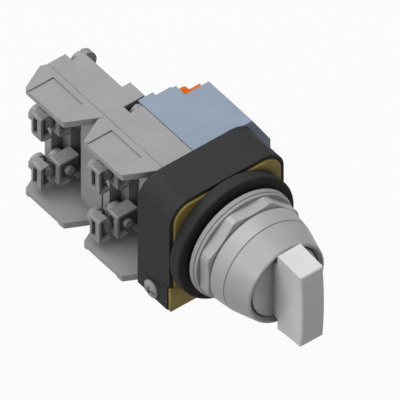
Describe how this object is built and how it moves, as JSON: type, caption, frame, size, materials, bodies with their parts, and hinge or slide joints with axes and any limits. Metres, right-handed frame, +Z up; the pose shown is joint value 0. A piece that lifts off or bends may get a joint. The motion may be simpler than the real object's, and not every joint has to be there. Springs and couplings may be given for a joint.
{
  "type": "panel selector switch",
  "caption": "Heavy-duty panel selector switch: bar knob in a conical bezel, threaded neck with nut and gasket, square body, stacked contact blocks with screw clamps and a side block",
  "frame": {"origin": "on the turning axis of the knob, in the plane where the gasket meets the back of the panel", "axes": "knob faces -Y, +X is right seen from the front, +Z is up; the body and blocks go back along +Y"},
  "size_m": [0.0486, 0.1077, 0.044],
  "materials": {
    "knob_plastic": "moulded, fine satin",
    "satin_metal": "satin chrome",
    "black_rubber": "matte",
    "gold_casting": "yellow chromated die casting",
    "black_plastic": "fine moulded grain",
    "screw_steel": "zinc plated",
    "shaft_steel": "turned",
    "spring_steel": "drawn wire",
    "white_plastic": "smooth moulded",
    "contact_brass": "stamped",
    "terminal_steel": "plated",
    "grey_plastic": "fine moulded grain",
    "blue_plastic": "fine moulded grain",
    "orange_plastic": "smooth moulded"
  },
  "bodies": {
    "operator": {"bezel": "satin_metal", "mounting_nut": "satin_metal", "trim_ring": "satin_metal", "thrust_washer": "satin_metal", "panel_gasket": "black_rubber", "shaft_seal": "black_rubber", "base_casting": "gold_casting", "cover_shell": "black_plastic", "foot_block": "black_plastic", "ground_screw": "screw_steel", "body_screws": "screw_steel", "detent_spring": "spring_steel", "grey_housing_front": "grey_plastic", "return_spring_front": "spring_steel", "terminal_screws_front": "terminal_steel", "clamp_upper_outer_front": "terminal_steel", "contact_upper_outer_front": "contact_brass", "clamp_upper_inner_front": "terminal_steel", "contact_upper_inner_front": "contact_brass", "clamp_lower_outer_front": "terminal_steel", "contact_lower_outer_front": "contact_brass", "clamp_lower_inner_front": "terminal_steel", "contact_lower_inner_front": "contact_brass", "mounting_screws_front": "screw_steel", "grey_housing_rear": "grey_plastic", "return_spring_rear": "spring_steel", "terminal_screws_rear": "terminal_steel", "clamp_upper_outer_rear": "terminal_steel", "contact_upper_outer_rear": "contact_brass", "clamp_upper_inner_rear": "terminal_steel", "contact_upper_inner_rear": "contact_brass", "clamp_lower_outer_rear": "terminal_steel", "contact_lower_outer_rear": "contact_brass", "clamp_lower_inner_rear": "terminal_steel", "contact_lower_inner_rear": "contact_brass", "mounting_screws_rear": "screw_steel", "blue_housing": "blue_plastic", "return_spring_blue": "spring_steel", "contact_strips_blue": "contact_brass", "terminal_screws_blue": "terminal_steel"},
    "knob": {"knob": "knob_plastic", "knob_set_screw": "screw_steel", "cam_shaft": "shaft_steel"},
    "left_drive": {"push_rod_left": "white_plastic", "carrier_front": "white_plastic", "carrier_rear": "white_plastic", "bridges_front": "contact_brass", "bridges_rear": "contact_brass"},
    "right_drive": {"push_rod_right": "white_plastic", "orange_carrier": "orange_plastic", "bridges_blue": "contact_brass"}
  },
  "joints": [
    {"name": "knob_turn", "type": "hinge", "parent": "operator", "child": "knob", "pos_m": [0, 0, 0], "axis": [0, 1, 0], "range_deg": [-45, 45], "deforming": ["detent_spring"]},
    {"name": "left_push", "type": "slide", "parent": "operator", "child": "left_drive", "axis": [0, 1, 0], "range_m": [-0.0016, 0.0016], "deforming": ["return_spring_front", "return_spring_rear"]},
    {"name": "right_push", "type": "slide", "parent": "operator", "child": "right_drive", "axis": [0, 1, 0], "range_m": [-0.0016, 0.0016], "deforming": ["return_spring_blue"]}
  ],
  "couplings": [
    {"joint": "left_push", "follows": "knob_turn", "m_per_rad": -0.0020372},
    {"joint": "right_push", "follows": "knob_turn", "m_per_rad": 0.0020372}
  ]
}
